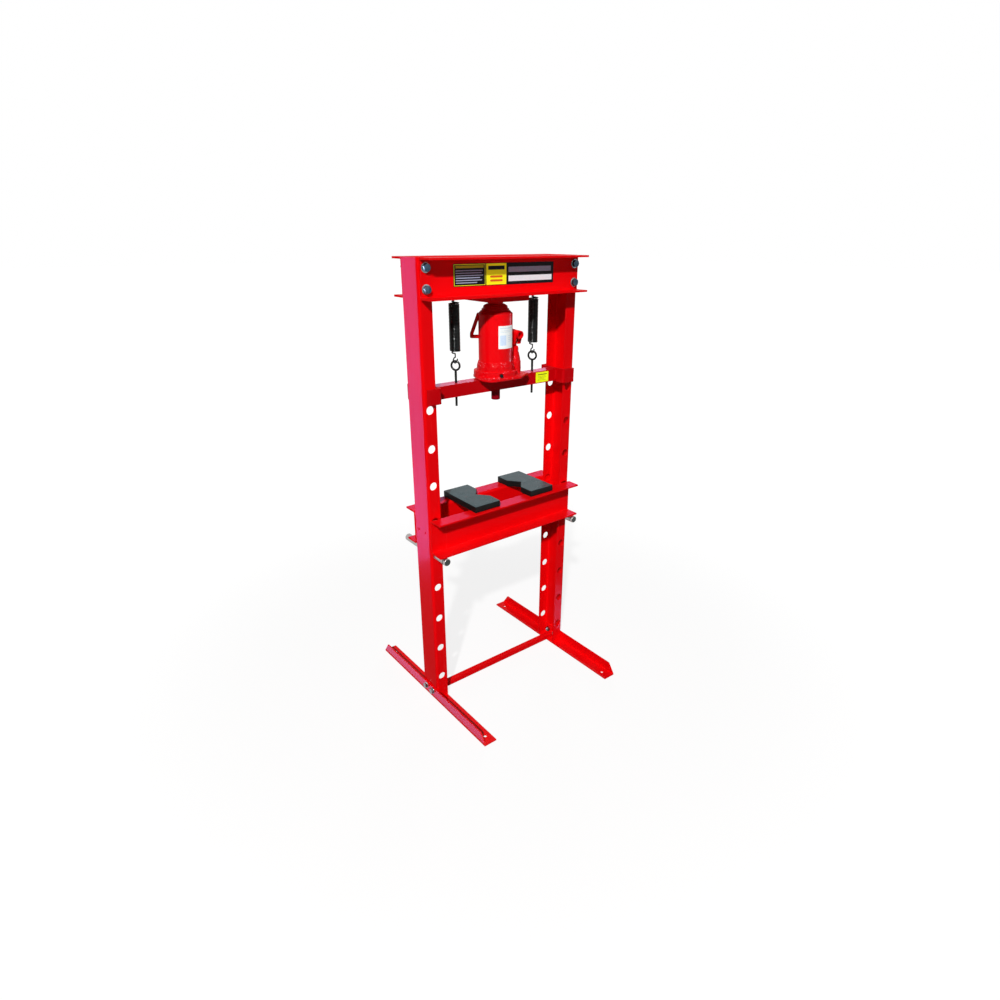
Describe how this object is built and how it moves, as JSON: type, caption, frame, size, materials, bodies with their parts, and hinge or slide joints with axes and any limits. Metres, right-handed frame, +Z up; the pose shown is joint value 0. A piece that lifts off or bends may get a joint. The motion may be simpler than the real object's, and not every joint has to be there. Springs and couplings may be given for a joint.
{
  "type": "hydraulic shop press",
  "caption": "Free-standing H-frame press: a bottle jack on a spring-hung moving crossbeam pushes down on work laid across a pinned, height-adjustable table.",
  "frame": {"origin": "on the floor, midway between the two posts and midway front to back", "axes": "+X along the beams towards the jack's pump, -Y the labelled front, +Z up"},
  "size_m": [0.639, 0.684, 1.5],
  "materials": {
    "red_paint": "glossy bright red paint over folded and welded steel",
    "jack_red": "glossy red enamel on the cast and turned jack body",
    "zinc": "bright zinc-plated fasteners",
    "steel": "bare turned steel with a light film of oil",
    "black_steel": "black spring wire and eye bolts, satin",
    "black_plate": "black blocks with a glossy coated top and rough sides",
    "black_label": "printed film with yellow and pale fields",
    "yellow_label": "yellow film with dark bars",
    "white_label": "white film with faint grey bars",
    "rubber_seal": "black oil seal"
  },
  "bodies": {
    "frame": {"post_left": "red_paint", "post_right": "red_paint", "top_channel_front": "red_paint", "top_channel_rear": "red_paint", "head_plate": "red_paint", "spring_hanger_rods": "red_paint", "top_bolts": "zinc", "top_washers": "zinc", "top_nuts": "zinc", "foot_left": "red_paint", "foot_right": "red_paint", "foot_bolts": "zinc", "foot_washers": "zinc", "foot_nuts": "zinc", "cross_brace": "red_paint", "brace_end_plates": "red_paint", "name_label": "black_label", "jack_ram": "steel", "jack_saddle": "jack_red", "ram_seal": "rubber_seal", "spring_left": "black_steel", "spring_right": "black_steel"},
    "crosshead": {"crossbeam": "red_paint", "guide_left": "red_paint", "guide_right": "red_paint", "press_pin": "red_paint", "eye_bolt_left": "black_steel", "eye_bolt_right": "black_steel", "beam_label": "yellow_label", "jack_base": "jack_red", "jack_reservoir": "jack_red", "jack_cylinder": "steel", "jack_top_nut": "jack_red", "pump_cylinder": "jack_red", "pump_gland": "steel", "fulcrum_link": "jack_red", "link_pin": "steel", "fulcrum_pin": "steel", "side_handle": "jack_red", "filler_plug": "black_steel", "jack_label": "white_label"},
    "table": {"table_channel_front": "red_paint", "table_channel_rear": "red_paint", "table_spacer_left": "red_paint", "table_spacer_right": "red_paint", "arbor_plate_left": "black_plate", "arbor_plate_right": "black_plate"},
    "table_pin_left": {"table_pin_left": "steel"},
    "table_pin_right": {"table_pin_right": "steel"},
    "pump_plunger": {"pump_plunger": "steel", "plunger_pin": "steel"},
    "handle_lever": {"handle_socket": "jack_red"},
    "release_valve": {"release_valve": "black_steel"}
  },
  "joints": [
    {"name": "crosshead_travel", "type": "slide", "parent": "frame", "child": "crosshead", "axis": [0, 0, 1], "range_m": [-0.15, 0], "stiffness_N_per_m": 1500, "springref_m": 0.25, "deforming": ["spring_left", "spring_right"]},
    {"name": "table_lift", "type": "slide", "parent": "frame", "child": "table", "axis": [0, 0, 1], "range_m": [0, 0.122]},
    {"name": "left_pin_draw", "type": "slide", "parent": "frame", "child": "table_pin_left", "axis": [0, -1, 0], "range_m": [0, 0.25]},
    {"name": "right_pin_draw", "type": "slide", "parent": "frame", "child": "table_pin_right", "axis": [0, -1, 0], "range_m": [0, 0.25]},
    {"name": "lever_swing", "type": "hinge", "parent": "crosshead", "child": "handle_lever", "pos_m": [0.078, 0.02965, 1.24906], "axis": [-1, 0, 0], "range_deg": [0, 40]},
    {"name": "plunger_travel", "type": "slide", "parent": "crosshead", "child": "pump_plunger", "axis": [0, 0, 1], "range_m": [0, 0.0214]},
    {"name": "valve_turn", "type": "hinge", "parent": "crosshead", "child": "release_valve", "pos_m": [-0.0266, -0.06583, 1.149], "axis": [-0.3746, -0.9272, 0], "range_deg": [0, 360]}
  ],
  "couplings": [
    {"joint": "plunger_travel", "follows": "lever_swing", "m_per_rad": 0.03033}
  ]
}
